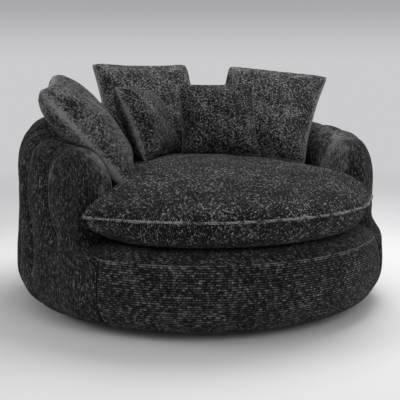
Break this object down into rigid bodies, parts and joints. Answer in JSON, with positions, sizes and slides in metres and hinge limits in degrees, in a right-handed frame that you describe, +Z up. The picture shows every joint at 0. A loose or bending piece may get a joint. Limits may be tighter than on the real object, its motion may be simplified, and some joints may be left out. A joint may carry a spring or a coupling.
{
  "type": "swivel cuddle chair",
  "caption": "Round swivel cuddle chair: padded drum body, wrap-around arms and back, loose T-shaped seat cushion and loose scatter cushions.",
  "frame": {"origin": "on the floor under the middle of the drum, where the swivel turns", "axes": "+Z up, the seat's opening faces -Y, +X towards the right arm as seen from the front"},
  "size_m": [1.4284, 1.4302, 0.9139],
  "materials": {
    "chenille": "charcoal chenille with lighter flecks",
    "fibre_filling": "polyester fibre in a white inner bag",
    "foam": "cut polyurethane foam",
    "hardboard": "brown hardboard",
    "birch_ply": "sawn birch plywood, unfinished",
    "black_board": "board stained black",
    "black_plastic": "moulded, matt",
    "spring_steel": "dark drawn wire",
    "zinc_steel": "zinc plated",
    "felt": "pressed grey felt",
    "cambric": "thin black non-woven cloth"
  },
  "bodies": {
    "base": {"plinth_disc": "black_board", "glide_1": "black_plastic", "glide_2": "black_plastic", "glide_3": "black_plastic", "glide_4": "black_plastic", "glide_5": "black_plastic", "glide_6": "black_plastic", "lower_plate": "zinc_steel", "ball_ring": "zinc_steel", "centre_pin": "zinc_steel", "lower_screw_1": "zinc_steel", "lower_screw_2": "zinc_steel", "lower_screw_3": "zinc_steel", "lower_screw_4": "zinc_steel"},
    "chair": {"upper_plate": "zinc_steel", "upper_screw_1": "zinc_steel", "upper_screw_2": "zinc_steel", "upper_screw_3": "zinc_steel", "upper_screw_4": "zinc_steel", "base_board": "birch_ply", "dust_cover": "cambric", "side_rail_left": "birch_ply", "side_rail_right": "birch_ply", "front_rail": "birch_ply", "back_rail": "birch_ply", "top_rail": "birch_ply", "rib_1": "birch_ply", "rib_2": "birch_ply", "rib_3": "birch_ply", "rib_4": "birch_ply", "rib_5": "birch_ply", "back_liner": "hardboard", "spring_1": "spring_steel", "spring_2": "spring_steel", "spring_3": "spring_steel", "spring_4": "spring_steel", "spring_felt": "felt", "outside_cover": "chenille", "inside_cover": "chenille", "arm_and_back_foam": "foam", "front_border": "chenille", "border_foam": "foam", "front_panel": "hardboard", "deck_cover": "chenille", "deck_foam": "foam"},
    "seat": {"seat_cushion_cover": "chenille", "seat_cushion_core": "fibre_filling", "seat_zip": "black_plastic"},
    "zip_slider": {"seat_zip_slider": "black_plastic"},
    "left_large": {"left_large_cover": "chenille", "left_large_pad": "fibre_filling"},
    "back_large": {"back_large_cover": "chenille", "back_large_pad": "fibre_filling"},
    "right_large": {"right_large_cover": "chenille", "right_large_pad": "fibre_filling"},
    "left_small": {"left_small_cover": "chenille", "left_small_pad": "fibre_filling"},
    "middle_small": {"middle_small_cover": "chenille", "middle_small_pad": "fibre_filling"}
  },
  "joints": [
    {"name": "swivel", "type": "hinge", "parent": "base", "child": "chair", "pos_m": [0, 0, 0.0178], "axis": [0, 0, 1], "continuous": true},
    {"name": "seat_lift_out", "type": "slide", "parent": "chair", "child": "seat", "axis": [0, 0, 1], "range_m": [0, 0.3]},
    {"name": "zip_run", "type": "hinge", "parent": "seat", "child": "zip_slider", "pos_m": [0, 0, 0.408], "axis": [0, 0, -1], "range_deg": [0, 64.8]},
    {"name": "left_large_lift_off", "type": "slide", "parent": "seat", "child": "left_large", "axis": [-0.554, 0.2351, 0.7986], "range_m": [0, 0.25]},
    {"name": "back_large_lift_off", "type": "slide", "parent": "seat", "child": "back_large", "axis": [-0.0474, 0.4515, 0.891], "range_m": [0, 0.25]},
    {"name": "right_large_lift_off", "type": "slide", "parent": "seat", "child": "right_large", "axis": [0.3443, 0.4406, 0.829], "range_m": [0, 0.25]},
    {"name": "left_small_lift_off", "type": "slide", "parent": "seat", "child": "left_small", "axis": [-0.3206, 0.299, 0.8988], "range_m": [0, 0.25]},
    {"name": "middle_small_lift_off", "type": "slide", "parent": "seat", "child": "middle_small", "axis": [0.0945, 0.3791, 0.9205], "range_m": [0, 0.25]}
  ]
}
